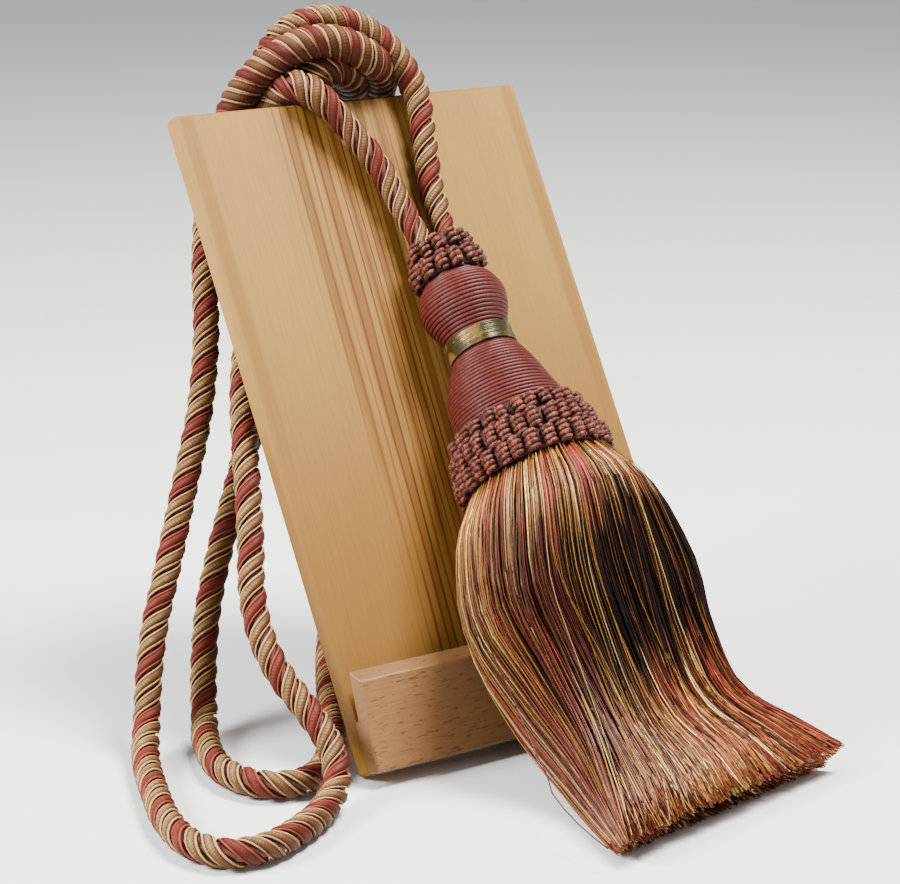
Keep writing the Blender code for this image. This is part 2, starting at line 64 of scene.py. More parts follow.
# one stretch of the rope after another: pitch of the twist, radius of a ply, distance of a
# ply's middle from the rope's, how much painted shade darkens the plies, and the points of the route
ROPE_STRETCHES = (
    # out of the head, up the board's face and over its top edge
    (31.0, 2.5, 3.6, 0.0, (
        (6.3, 27.5, 194.5), (4.6, 37.5, 205.0), (1.9, 48.3, 219.2), (-2.6, 56.5, 232.7),
        (-10.2, 63.8, 245.6))),
    # the bend over the edge, where the plies open
    (22.0, 2.9, 5.0, 0.05, (
        (-19.5, 72.0, 259.0), (-27.5, 82.5, 265.2), (-31.5, 94.5, 256.5))),
    # down behind the board and out beside its left edge
    (27.0, 2.5, 3.6, 0.0, (
        (-36.0, 98.5, 236.0), (-50.0, 84.0, 205.0), (-67.0, 60.0, 170.0), (-83.5, 37.5, 143.0),
        (-92.5, 21.5, 125.0), (-98.5, 9.5, 110.5), (-106.0, -5.0, 91.0), (-113.0, -17.0, 74.0),
        (-116.5, -30.0, 58.0), (-115.5, -43.0, 45.0), (-111.5, -57.0, 33.5),
        (-109.5, -71.0, 22.5))),
    # front loop on the table
    (26.0, 2.5, 3.6, 0.0, (
        (-114.0, -83.0, 11.5), (-127.0, -94.0, 6.8), (-146.0, -106.0, 6.6),
        (-164.0, -113.0, 6.6), (-179.5, -110.5, 6.6), (-187.0, -95.0, 6.6),
        (-184.5, -72.0, 6.6), (-173.5, -40.0, 6.8))),
    # back up on the far left and in behind the board
    (26.0, 2.5, 3.6, 0.0, (
        (-160.0, -8.0, 8.0), (-150.0, 9.0, 15.0), (-144.0, 17.5, 30.0), (-136.5, 25.0, 50.0),
        (-126.0, 32.0, 71.5), (-112.0, 41.0, 102.0), (-97.5, 50.5, 134.5), (-87.0, 62.0, 163.0),
        (-79.0, 76.0, 192.0), (-65.0, 93.5, 225.0))),
    # middle arch over the top edge, left to right
    (16.0, 2.6, 5.5, 0.1, (
        (-50.0, 103.5, 248.0), (-42.5, 98.0, 264.5), (-31.5, 90.5, 277.0), (-18.0, 84.5, 283.5),
        (-3.0, 79.5, 282.0), (9.0, 77.0, 274.5), (20.5, 86.5, 266.0), (27.0, 99.5, 254.5),
        (29.5, 106.0, 235.0))),
    # straight down behind the board
    (27.0, 2.5, 3.6, 0.0, (
        (28.0, 107.0, 200.0), (20.0, 106.0, 150.0), (12.0, 103.0, 105.0), (4.0, 97.0, 66.0),
        (-8.0, 85.0, 30.0), (-25.0, 64.0, 9.5), (-43.0, 36.0, 6.6), (-61.0, 6.0, 6.6))),
    # inner loop on the table, under the front loop
    (26.0, 2.5, 3.6, 0.0, (
        (-81.0, -27.0, 6.6), (-103.0, -55.5, 6.6), (-120.0, -65.0, 6.6), (-134.0, -58.0, 6.6),
        (-139.5, -38.5, 6.6), (-131.5, -9.0, 6.9), (-120.0, 13.0, 9.5), (-112.0, 27.0, 26.0))),
    # up behind the board again
    (26.0, 2.5, 3.6, 0.0, (
        (-105.0, 35.0, 48.0), (-95.0, 41.0, 72.0), (-80.0, 48.8, 101.0), (-58.0, 63.0, 142.0),
        (-37.0, 84.0, 190.0))),
    # lowest arch, under the middle one, with painted shade on its plies
    (17.0, 2.8, 6.3, 0.35, (
        (-17.0, 98.0, 230.0), (-20.5, 100.5, 245.0), (-18.6, 92.3, 261.4), (-11.0, 85.8, 271.2),
        (0.5, 86.8, 270.0))),
    # round behind it, in the dark, with more painted shade on its plies
    (17.0, 2.8, 6.3, 0.8, (
        (8.5, 92.3, 265.0), (13.0, 102.5, 258.0), (9.0, 113.5, 251.0), (-3.0, 119.0, 249.5),
        (-17.0, 117.5, 258.0))),
    # outer arch, over the other two
    (18.0, 2.5, 4.4, 0.0, (
        (-26.5, 107.5, 273.0), (-22.5, 98.8, 286.5), (-10.0, 93.1, 292.0), (4.8, 87.8, 290.2),
        (17.6, 82.1, 281.5), (26.6, 76.7, 268.8))),
    # down the board's face into the head
    (28.0, 2.5, 3.6, 0.0, (
        (29.5, 70.8, 256.8), (25.8, 60.0, 239.3), (21.8, 49.0, 220.4), (20.3, 40.0, 208.5),
        (17.4, 29.5, 196.8))),
)
ROPE_PHASE = 0.6                # turn of the twist at the rope's first point
ROPE_EASE = 30.0                # the twist changes over this length between stretches
ROPE_FINE_STEP = 0.4
ROUTE_STEP = 2.0                # the route is eased at points this far apart
ROUTE_ROUNDS = 4
CORD_STEP = 3.0
PLY_LOOKS = (0, 1, 1)           # each ply's material: coral or gold-beige
CORE_LOOK = 2
PLY_WRAP = 1.1                  # length of ply under one turn of its wrapping
PLY_SIDES = 12
CORE_SHARE = 1.15               # radius of the dark core, as a share of the plies' distance
CORE_SIDES = 6
# painted light and shade: the plies' colour is paler on the side that faces this way and darker on the
# other
PAINTED_LIGHT_SIDE = (-0.62, 0.05, 0.78)  # the plies are paler on the side that faces this way
# thin yarns along a ply's edges: angle from its outward side, radius as a share of the ply's
EDGE_YARNS = ((math.radians(60.0), 0.25), (math.radians(-62.0), 0.19))
EDGE_SIDES = 5
EDGE_SHADE = (1.15, 0.15)       # middle and swing
ROPE_END_TAPER = 24.0
ROPE_END_SCALE = 0.84

# ---- tassel head, mm along and around its own axis ----
HEAD_TOP = (11.2, 29.7, 199.2)
HEAD_LEAN = math.radians(41.5)
HEAD_TURN = math.radians(0.6)
# distance down the axis, radius, shift to +X
MOULD_PROFILE = ((6.5, 9.0, 0.0), (8.0, 10.6, 0.0), (18.0, 11.2, 0.0), (21.0, 13.8, 0.0),
                 (25.0, 17.3, 0.0), (30.0, 19.3, 0.0), (34.0, 19.6, 0.0), (39.0, 18.6, 0.0),
                 (44.0, 16.4, 0.0), (48.5, 14.3, 0.0), (58.0, 14.3, 0.0), (61.0, 16.4, -0.4),
                 (67.0, 19.4, -1.2), (74.0, 22.0, -1.6), (82.0, 24.0, -1.3), (90.0, 26.0, -0.5),
                 (95.0, 26.6, 0.0), (112.5, 27.2, 0.0))
WINDING_PITCH = 1.85
WINDING_RADIUS = 1.0
WINDING_STEPS = 72              # points in one turn
WINDING_SIDES = 8
WINDING_SUNK = 0.8              # share of the cord's radius inside the profile
WINDING_INSET = 0.6             # from the mould's ends
WINDING_TWIST = 1.5             # one turn of the cord's own twist
PROFILE_POINTS = 600
BAND_START = 49.2
BAND_END = 57.4
BAND_RADIUS = 15.5
BAND_THREADS = 13
BAND_THREAD_RADIUS = 0.42
BAND_THREAD_WIDER = 1.25        # so that the threads meet
BAND_DIP = 0.35                 # the middle threads lie deeper
BAND_WAVER = (0.18, 3, 1.7)     # height, wavers in a turn, shift from thread to thread
BAND_STEPS = 96
BAND_SIDES = 6
# rows of cord loops: start and end down the axis, radius of their middles, radius of a loop's
# coil, loops in the row, pitch of the coil, how far a loop strays
RUFF_ROWS = {
    "top_ruff_upper": (0.4, 11.0, 12.4, 3.4, 12, 2.6, 1.3),
    "top_ruff_lower": (9.6, 20.8, 14.6, 3.4, 14, 2.6, 1.0),
    "ruff_row_1": (90.4, 100.6, 28.2, 3.2, 27, 2.3, 1.0),
    "ruff_row_2": (98.0, 110.4, 30.7, 3.3, 29, 2.3, 0.7),
    "ruff_row_3": (107.4, 119.6, 32.8, 3.4, 30, 2.3, 0.4),
}
LOOP_CORD = 1.28                # radius of the loops' own cord
LOOP_STEPS = 12                 # points in one turn of a loop's coil
LOOP_SIDES = 6
LOOP_TWIST = 1.1                # one turn of the cord's own twist
LOOP_UNEVEN = (0.12, 0.3, 0.5)  # spacing; bulge and shift, as shares of the row's stray
LOOP_SIZES = (0.85, 1.1)
LOOP_INSET = 0.15               # shares of the coil's radius: a loop's ends lie inside its
LOOP_ARCH = 0.25                # row's middle and the rest arches out
LOOP_ENDS = (5.0, 0.7)          # rings that taper at each end, and their smallest share
# painted shade: the loops darken towards the inside of their row, and the ring behind them partly
LOOP_SHADE = (0.6, 1.5)         # from dark to light: start and span in coil radii
RING_INSET = 1.5                # of the ring that holds a row, from the row's ends
RING_SHADE = 0.3
RUFF_SEED = 11
BOARD_CLEAR = 0.5               # the head's cords stay this far off the board

# ---- fringe, mm ----
# sections of the bundle from the ruff to the ends: middle, half sizes, the angles of the width
# in plan and of the depth from upright, and how round it is
FRINGE_COLUMNS = ("x", "y", "z", "half_width", "half_depth", "turn", "lean", "round")
FRINGE_SECTIONS = (
    (9.8, -48.8, 110.3, 26.5, 26.5, 0.0, 48.5, 1.0),
    (7.9, -65.8, 94.8, 47.7, 35.8, 0.0, 45.0, 1.0),
    (5.0, -88.6, 66.6, 55.4, 31.1, 0.0, 40.0, 0.8),
    (5.6, -109.5, 39.8, 48.3, 27.1, 2.0, 33.0, 0.5),
    (5.7, -137.6, 20.1, 45.2, 19.0, 5.0, 22.0, 0.2),
    (7.7, -163.7, 12.6, 55.9, 11.4, 9.0, 10.0, 0.05),
    (12.5, -184.0, 6.6, 68.2, 5.0, 11.4, 0.0, 0.0),
)
STRAND_RINGS = 18
STRAND_SIDES = 3
STRAND_RADIUS = 0.35
STRAND_SIZES = (0.75, 1.2)
STRAND_TIP = (0.9, 0.75)        # start and size of the taper, as shares
STRAND_BEND = 0.5
STRAND_RAGGED = 0.08
UNDER_SHORT = 0.06
FLOOR_CLEAR = 0.3
FRINGE_SEED = 5
ROOT_WIDTH = 31.0               # the strands leave the ruff this far from the axis
# strands through the bundle, in its skin, and loose ones that cross on top
STRANDS_INSIDE = 900
STRANDS_SKIN = 4800
STRANDS_LOOSE = 34
INSIDE_REACH = 0.95
SKIN_DEPTH = 0.3                # share of the way to the middle
SKIN_BUNCH = 1.6                # above 1 for more strands near the outside
LOOSE_SPAN = (-0.95, 0.9)
LOOSE_LIFT = 0.06
LOOSE_SIZE = 0.6
DRIFTS = (0.14, 0.2)            # to a side, of a bound strand and of a loose one
WAVES = (0.028, 0.07)           # the same
SWEEP = (0.09, 0.84, 0.13)      # the ends' shift to the right: most, middle, half width
SKIN_MIDDLE = 0.5               # the skin's middle piece reaches this far either way
LOCKS = 34                      # the strands gather towards this many lines across the width
LOCK_PULL = 0.3
# a single strand that stands off the left edge: share of the length, place across
STRAY_PATH = ((0.0, -0.8), (0.35, -1.0), (0.5, -1.16), (0.62, -1.34), (0.74, -1.42), (0.86, -1.28),
              (1.0, -1.1))
STRAY_REACH = 0.96
STRAY_HEIGHT = 0.2
# coral bands over the width at the root: middle and half width
CORAL_BANDS = ((-0.58, 0.10), (-0.12, 0.13), (0.44, 0.08), (0.74, 0.06))
DYE_SOFT = 0.1                  # softness of the change from one dye to the next
STRAND_BRIGHT = (0.45, 1.2)
LOOSE_BRIGHT = 0.7

# ---- colours as seen, 0 to 255 ----
PALETTE = {
    "gold": (188, 134, 62),
    "cream": (238, 206, 132),
    "tan": (96, 54, 24),
    "coral": (172, 76, 52),
    "rose": (122, 48, 34),
    "brown": (18, 7, 5),
    "umber": (38, 17, 10),
    "maroon": (66, 24, 17),
    "rope_gold": (184, 148, 94),
    "rope_tan": (92, 60, 36),
    "rope_shadow": (54, 24, 14),
    "rope_brown": (110, 62, 46),
    "rope_coral": (140, 60, 46),
    "rope_rose": (80, 32, 24),
    "wound": (64, 18, 14),
    "wound_light": (104, 37, 28),
    "wound_dark": (22, 6, 5),
    "band_gold": (136, 106, 56),
    "band_olive": (58, 50, 20),
    "loop": (67, 26, 18),
    "loop_light": (148, 77, 53),
    "loop_dark": (32, 11, 8),
    "pine": (149, 109, 47),
    "pine_line": (109, 67, 14),
    "pine_pale": (156, 118, 53),
    "pine_ring": (86, 42, 6),
    "ledge": (158, 117, 74),
    "ledge_pale": (168, 127, 82),
    "ledge_line": (84, 47, 19),
    "table": (244, 244, 243),
}
TABLE_FLECK = (0.55, 0.55, 0.55, 1.0)


def linear(name):
    """Colour of the palette as linear red, green, blue and 1."""
    seen = np.array(PALETTE[name]) / 255.0
    return (*np.where(seen <= 0.04045, seen / 12.92, ((seen + 0.055) / 1.055) ** 2.4), 1.0)


# ---- node helpers ----
def new_material(name, roughness, metallic=0.0, specular=0.5):
    """Material and its node tree."""
    made = bpy.data.materials.new(name)
    made.use_nodes = True
    shader = made.node_tree.nodes["Principled BSDF"]
    shader.inputs["Roughness"].default_value = roughness
    shader.inputs["Metallic"].default_value = metallic
    shader.inputs["Specular IOR Level"].default_value = specular
    return made, made.node_tree


def add(tree, kind, inputs=(), **settings):
    """Node of a kind; inputs are (socket name or number, value or output socket)."""
    item = tree.nodes.new("ShaderNode" + kind)
    for key, value in settings.items():
        setattr(item, key, value)
    for key, value in inputs:
        if isinstance(value, bpy.types.NodeSocket):
            tree.links.new(value, item.inputs[key])
        else:
            item.inputs[key].default_value = value
    return item


def maths(tree, operation, first, second=0.0):
    """Output of a Math node."""
    return add(tree, "Math", ((0, first), (1, second)), operation=operation).outputs[0]


def weighted(tree, first, share, second, other):
    """Sum of two values, each times its number."""
    return maths(tree, "ADD", maths(tree, "MULTIPLY", first, share),
                 maths(tree, "MULTIPLY", second, other))


def half_wave(tree, turns):
    """Sine of an angle, moved to run from 0 to 1."""
    wave = maths(tree, "SINE", turns)
    return add(tree, "Math", ((0, wave), (1, 0.5), (2, 0.5)), operation="MULTIPLY_ADD").outputs[0]


def ramp(tree, factor, *stops):
    """Colour output of a ramp with stops of (place, palette name)."""
    item = add(tree, "ValToRGB", (("Fac", factor),))
    line = item.color_ramp
    while len(line.elements) < len(stops):
        line.elements.new(0.5)
    for element, (place, name) in zip(line.elements, stops):
        element.position = place
        element.color = linear(name)
    return item.outputs["Color"]


def smooth_range(tree, value, low, high, to_low=0.0, to_high=1.0):
    """Value eased from one range to another."""
    return add(tree, "MapRange", (("Value", value), ("From Min", low), ("From Max", high),
                                  ("To Min", to_low), ("To Max", to_high)),
               interpolation_type="SMOOTHSTEP").outputs["Result"]


def blend_colours(tree, factor, first, second, kind="MIX"):
    """Colour output of a Mix node."""
    item = add(tree, "Mix", (("Factor", factor), (6, first), (7, second)), data_type="RGBA",
               blend_type=kind)
    return item.outputs[2]


def noise_value(tree, vector, scale, detail=3.0, roughness=0.5):
    """Fac output of a noise texture."""
    return add(tree, "TexNoise", (("Vector", vector), ("Scale", scale), ("Detail", detail),
                                  ("Roughness", roughness))).outputs["Fac"]


def attribute(tree, name, output="Fac"):
    """Output of a mesh attribute."""
    return add(tree, "Attribute", attribute_name=name).outputs[output]


def position(tree):
    """Output of the place on the surface."""
    return add(tree, "NewGeometry").outputs["Position"]


def cord_twist(tree, length):
    """Wave of a cord's own twist, which turns once in a length."""
    return half_wave(tree, weighted(tree, attribute(tree, "along"), math.tau / length,
                                    attribute(tree, "around"), math.tau * 2.0))


def set_colour(tree, colour):
    """Colour of the shader."""
    tree.links.new(colour, tree.nodes["Principled BSDF"].inputs["Base Color"])


def set_bump(tree, height, strength, distance):
    """Bump of the shader from a height, with a distance in mm."""
    bump = add(tree, "Bump", (("Height", height), ("Strength", strength), ("Distance", distance * MM)))
    tree.links.new(bump.outputs["Normal"], tree.nodes["Principled BSDF"].inputs["Normal"])


# ---- materials ----
def ply_material(name, light, middle, wrap_depth):
    """Yarn of a ply, wrapped round and round. Painted shade darkens it between the other plies, in the
    creases of its wrapping and on its under side, and painted light makes it paler on its upper side.
    """
    made, tree = new_material(name, roughness=0.55, specular=0.1)
    surface = add(tree, "NewGeometry")
    place = surface.outputs["Position"]
    # painted light: surfaces that face that side are given a paler colour
    upper = add(tree, "VectorMath", ((0, surface.outputs["Normal"]), (1, PAINTED_LIGHT_SIDE)),
                operation="DOT_PRODUCT").outputs["Value"]
    painted_light = smooth_range(tree, upper, -0.3, 1.0, 0.12, 0.46)
    wander = maths(tree, "MULTIPLY", noise_value(tree, place, 900.0), 2.2)
    turns = maths(tree, "MULTIPLY", attribute(tree, "along"), math.tau / PLY_WRAP)
    wrap = half_wave(tree, maths(tree, "ADD", turns, wander))
    mottle = noise_value(tree, place, 260.0, 4.0)
    # painted shade: the colour darkens away from the ply's outward side, into the grooves
    groove_shade = smooth_range(tree, attribute(tree, "shade"), 0.55, 1.28, -0.5, 0.36)
    # painted shade in the creases between the turns of the wrapping
    wrap_crease_shade = smooth_range(tree, wrap, 0.0, 0.35, -0.12, 0.0)
    tone = maths(tree, "ADD", maths(tree, "ADD", groove_shade, wrap_crease_shade), maths(tree, "MULTIPLY", mottle, 0.3))
    # the ramp runs from the painted-shade colour through the middle tone to the lit tone of the yarn
    colour = ramp(tree, maths(tree, "ADD", tone, painted_light), (0.1, "rope_shadow"), (0.5, middle), (0.9, light))
    set_colour(tree, colour)
    set_bump(tree, wrap, 0.25, wrap_depth)
    return made


def core_material():
    """Yarn at the rope's heart, coloured dark brown as painted shade where it shows in the grooves between
    the plies.
    """
    made, tree = new_material("rope_core", roughness=0.8)
    place = position(tree)
    colour = ramp(tree, noise_value(tree, place, 600.0), (0.3, "rope_rose"), (0.7, "rope_brown"))
    set_colour(tree, colour)
    return made


def wound_material():
    """Rust cord wound in rings, with its own fine twist. Painted shade darkens it in the grooves between
    the rings, and a little in the grooves of its twist.
    """
    made, tree = new_material("wound_cord", roughness=0.5, metallic=0.05, specular=0.3)
    place = position(tree)
    twist = cord_twist(tree, WINDING_TWIST)
    mottle = noise_value(tree, place, 420.0, 3.0)
    tone = weighted(tree, twist, 0.15, mottle, 0.85)
    skin = ramp(tree, tone, (0.3, "wound"), (0.8, "wound_light"))
    # painted shade: dark where the cord turns in towards its neighbours
    colour = blend_colours(tree, smooth_range(tree, attribute(tree, "shade"), 0.45, 0.95),
                           linear("wound_dark"), skin)
    set_colour(tree, colour)
    set_bump(tree, twist, 0.25, 0.15)
    return made


def band_material():
    """Shiny gold thread laid side by side, with painted sheen: patches of light gold and dark olive."""
    made, tree = new_material("gold_thread", roughness=0.34, metallic=0.45)
    place = position(tree)
    # painted sheen: patches of light gold and dark olive
    sheen_patches = noise_value(tree, place, 105.0, 2.0)
    fine = noise_value(tree, place, 1500.0, 2.0)
    tone = weighted(tree, sheen_patches, 1.5, fine, 0.3)
    colour = ramp(tree, tone, (0.8, "band_olive"), (1.02, "band_gold"))
    set_colour(tree, colour)
    set_bump(tree, fine, 0.3, 0.1)
    return made


def loop_material():
    """Mottled cord of the ruffs' loops. Painted shade darkens it towards the inside of its row, between the
    loops, and a little in the grooves of its twist.
    """
    made, tree = new_material("looped_cord", roughness=0.6, metallic=0.05, specular=0.3)
    place = position(tree)
    twist = cord_twist(tree, LOOP_TWIST)
    flecks = noise_value(tree, place, 480.0, 3.0, 0.6)
    tone = weighted(tree, twist, 0.12, flecks, 0.95)
    skin = ramp(tree, tone, (0.34, "loop_dark"), (0.52, "loop"), (0.7, "loop_light"))
    # painted shade: the darkened copy of the cord's colour, for the inside of the row
    deep = blend_colours(tree, 0.85, skin, linear("loop_dark"))
    colour = blend_colours(tree, smooth_range(tree, attribute(tree, "shade"), 0.1, 0.95), deep, skin)
    set_colour(tree, colour)
    set_bump(tree, twist, 0.2, 0.12)
    return made


def fringe_material():
    """Lustrous yarn; its dye is the mesh's own tint."""
    made, tree = new_material("fringe", roughness=0.45, metallic=0.1, specular=0.2)
    place = position(tree)
    dye = attribute(tree, "tint", "Color")
    fibre = noise_value(tree, place, 700.0, 2.0)
    darker = smooth_range(tree, fibre, 0.3, 0.7, 0.72, 1.12)
    colour = blend_colours(tree, 1.0, dye, darker, "MULTIPLY")
    set_colour(tree, colour)
    set_bump(tree, fibre, 0.25, 0.1)
    return made


def grain_vector(tree, along_x):
    """Place turned so that Z runs up the board, or along X."""
    place = position(tree)
    upright = add(tree, "VectorRotate", (("Vector", place), ("Angle", BOARD_LEAN)),
                  rotation_type="X_AXIS").outputs["Vector"]
    if not along_x:
        return upright
    quarter = (0.0, math.pi / 2, 0.0)
    return add(tree, "Mapping", (("Vector", upright), ("Rotation", quarter))).outputs[0]


def stretched(tree, vector, share):
    """The vector with its Z made shorter, for patterns drawn out along the grain."""
    return add(tree, "Mapping", (("Vector", vector), ("Scale", (1.0, 1.0, share)))).outputs[0]


def pine_material(name, tones, along_x, line_middle, line_spread, tears):
    """Pine with a band of strong grain lines and torn flecks, and painted shade: a darker strip near the
    edges, darker low down and on faces that look up.
    """
    plain, line, pale, ring = tones
    made, tree = new_material(name, roughness=0.6, specular=0.25)
    upright = grain_vector(tree, along_x)
    parts = add(tree, "SeparateXYZ", (("Vector", upright),))
    across, rise = parts.outputs["X"], parts.outputs["Z"]
    drift = maths(tree, "MULTIPLY", noise_value(tree, stretched(tree, upright, 0.06), 30.0, 3.0), 0.014)
    slope = maths(tree, "MULTIPLY", rise, -0.03)
    shifted = maths(tree, "ADD", maths(tree, "ADD", across, drift), slope)
    rings = maths(tree, "SINE", maths(tree, "MULTIPLY", shifted, math.tau / (RING_SPACING * MM)))
    lines = smooth_range(tree, rings, 0.45, 1.0)
    centred = maths(tree, "ABSOLUTE", maths(tree, "SUBTRACT", across, line_middle * MM))
    strong = smooth_range(tree, centred, line_spread * 0.75 * MM, line_spread * MM, 1.0, 0.05)
    broken = smooth_range(tree, noise_value(tree, stretched(tree, upright, 0.08), 140.0, 3.0),
                          0.35, 0.65, 0.45, 1.0)
    strength = maths(tree, "MULTIPLY", maths(tree, "MULTIPLY", lines, strong), broken)
    cloud = noise_value(tree, stretched(tree, upright, 0.25), 22.0, 3.0)
    ground = ramp(tree, cloud, (0.3, plain), (0.7, pale))
    broad = half_wave(tree, maths(tree, "MULTIPLY", shifted, math.tau / (STRIPE_SPACING * MM)))
    warm = maths(tree, "MULTIPLY", strong, smooth_range(tree, broad, 0.2, 0.9, 0.25, 0.8))
    # painted shade of a rounded edge: a darker strip near the sides
    strip = (BOARD_WIDTH / 2.0 - SHADED_STRIP_INSET) * MM
    rim = maths(tree, "ABSOLUTE", maths(tree, "SUBTRACT", maths(tree, "ABSOLUTE", across), strip))
    edge = smooth_range(tree, rim, 2.0 * MM, 4.5 * MM, 0.42, 0.0)
    # painted shade: darker low down, where the rise is small
    low = smooth_range(tree, rise, 0.02, 0.2, 0.6, 0.0)
    # painted shade on faces that look up
    up_face = add(tree, "VectorMath", ((0, add(tree, "NewGeometry").outputs["Normal"]),
                                       (1, (0.0, math.sin(BOARD_LEAN), math.cos(BOARD_LEAN)))),
                  operation="DOT_PRODUCT").outputs["Value"]
    top = smooth_range(tree, up_face, 0.5, 0.9)
    # the wood's own warm stripes, together with the painted shade of edges, low parts and upward faces
    stripes_and_painted_shade = maths(tree, "MAXIMUM", maths(tree, "MAXIMUM", warm, low), maths(tree, "MAXIMUM", edge, top))
    ground = blend_colours(tree, stripes_and_painted_shade, ground, linear(line))
    fibre = noise_value(tree, stretched(tree, upright, 0.05), 1400.0, 3.0)
    ground = blend_colours(tree, smooth_range(tree, fibre, 0.35, 0.8, 0.0, 0.2), ground, linear(line))
    torn = noise_value(tree, stretched(tree, upright, 0.2), 1050.0, 4.0)
    flecks = smooth_range(tree, torn, 0.56, 0.68, 0.0, tears)
    colour = blend_colours(tree, maths(tree, "MAXIMUM", strength, flecks), ground, linear(ring))
    set_colour(tree, colour)
    height = maths(tree, "SUBTRACT", maths(tree, "MULTIPLY", fibre, 0.4), maths(tree, "ADD", lines, flecks))
    set_bump(tree, height, 0.12, 0.4)
    return made


def table_material():
    """Matt pale table top."""
    made, tree = new_material("table_top", roughness=0.55)
    place = position(tree)
    grain = noise_value(tree, place, 900.0, 2.0)
    colour = blend_colours(tree, smooth_range(tree, grain, 0.3, 0.7, 0.0, 0.06), linear("table"),
                           TABLE_FLECK)
    set_colour(tree, colour)
    return made


# ---- mesh helpers ----
def unit(vectors):
    """Vectors along the last axis made one long."""
    return vectors / np.linalg.norm(vectors, axis=-1, keepdims=True)


def across_curve(vectors, tangents):
    """The vectors less what runs along the tangents, made one long."""
    return unit(vectors - tangents * np.sum(vectors * tangents, axis=-1, keepdims=True))


def new_object(name, data):
    """Object of the scene with a mesh, a lamp or a camera."""
    item = bpy.data.objects.new(name, data)
    bpy.context.scene.collection.objects.link(item)
    return item


def mesh_object(name, points, faces, materials, values=None, colours=None, looks=None):
    """Smooth-shaded mesh of points in mm and of arrays of faces."""
    corners = np.concatenate([f.ravel() for f in faces])
    sizes = np.concatenate([np.full(len(f), f.shape[1]) for f in faces])
    mesh = bpy.data.meshes.new(name)
    mesh.vertices.add(len(points))
    mesh.vertices.foreach_set("co", (points * MM).astype(np.float32).ravel())
    mesh.loops.add(len(corners))
    mesh.loops.foreach_set("vertex_index", corners.astype(np.int32))
    mesh.polygons.add(len(sizes))
    mesh.polygons.foreach_set("loop_start", (np.cumsum(sizes) - sizes).astype(np.int32))
    mesh.polygons.foreach_set("use_smooth", np.ones(len(sizes), bool))
    for item in materials:
        mesh.materials.append(item)
    if looks is not None:
        mesh.polygons.foreach_set("material_index", looks.astype(np.int32))
    mesh.update(calc_edges=True)
    for key, numbers in (values or {}).items():
        layer = mesh.attributes.new(key, "FLOAT", "POINT")
        layer.data.foreach_set("value", numbers.astype(np.float32).ravel())
    if colours is not None:
        layer = mesh.attributes.new("tint", "FLOAT_COLOR", "POINT")
        layer.data.foreach_set("color", colours.astype(np.float32).ravel())
    mesh.validate()
    return new_object(name, mesh)


def finish_piece(piece, node):
    """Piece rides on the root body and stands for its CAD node."""
    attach(piece, "root")
    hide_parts(node)


def carried_frames(centres):
    """Two unit vectors across each of several curves (curve, ring, xyz), carried without twist."""
    tangents = unit(np.gradient(centres, axis=1))
    side = np.cross(tangents[:, 0], (0.0, 0.0, 1.0))
    weak = np.linalg.norm(side, axis=1) < 0.1
    side[weak] = np.cross(tangents[weak, 0], (1.0, 0.0, 0.0))
    side = unit(side)
    sides = np.empty_like(centres)
    for ring in range(centres.shape[1]):
        side = across_curve(side, tangents[:, ring])
        sides[:, ring] = side
    return sides, np.cross(tangents, sides)


def run_lengths(centres):
    """Distance along each of several curves at its points."""
    steps = np.linalg.norm(np.diff(centres, axis=1), axis=2)
    return np.concatenate([np.zeros((len(centres), 1)), np.cumsum(steps, axis=1)], axis=1)


def tube_faces(curves, rings, sides):
    """Quads of the tubes' walls, and the end caps, for points ordered curve, ring, side."""
    curve, ring, side = np.indices((curves, rings - 1, sides))
    base = (curve * rings + ring) * sides
    after = (side + 1) % sides
    walls = np.stack([base + side, base + after, base + sides + after, base + sides + side], axis=-1)
    first = np.arange(curves)[:, None] * rings * sides + np.arange(sides)[None]
    last = first + (rings - 1) * sides
    return [walls.reshape(-1, 4), first[:, ::-1], last]


def tubes(centres, radii, sides, frames=None):
    """Points (curve, ring, side, xyz) of round tubes along curves, and each side's angle."""
    across, other = frames or carried_frames(centres)
    angles = np.arange(sides) * math.tau / sides
    turn = across[:, :, None] * np.cos(angles)[None, None, :, None]
    turn = turn + other[:, :, None] * np.sin(angles)[None, None, :, None]
    return centres[:, :, None] + turn * radii[..., None, None], angles


# ---- rope ----
def smooth_route(knots, per_span=24):
    """Centripetal Catmull-Rom curve through the route's points."""
    knots = np.vstack([2 * knots[0] - knots[1], knots, 2 * knots[-1] - knots[-2]])
    pieces = []
    for index in range(1, len(knots) - 2):
        quad = knots[index - 1:index + 3]
        gaps = np.sqrt(np.linalg.norm(np.diff(quad, axis=0), axis=1))
        times = np.concatenate([[0.0], np.cumsum(gaps)])
        at = np.linspace(times[1], times[2], per_span, endpoint=False)[:, None]
        level = [quad[k] + (at - times[k]) / (times[k + 1] - times[k]) * (quad[k + 1] - quad[k])
                 for k in range(3)]
        pair = [level[k] + (at - times[k]) / (times[k + 2] - times[k]) * (level[k + 1] - level[k])
                for k in range(2)]
        pieces.append(pair[0] + (at - times[1]) / (times[2] - times[1]) * (pair[1] - pair[0]))
    pieces.append(knots[-2:-1])
    return np.vstack(pieces)


def even_points(curve, step):
    """The curve's points at an even spacing near step, and the distance of each."""
    run = run_lengths(curve[None])[0]
    count = int(round(run[-1] / step))
    at = np.linspace(0.0, run[-1], count + 1)
    return np.stack([np.interp(at, run, curve[:, axis]) for axis in range(3)], axis=1), at


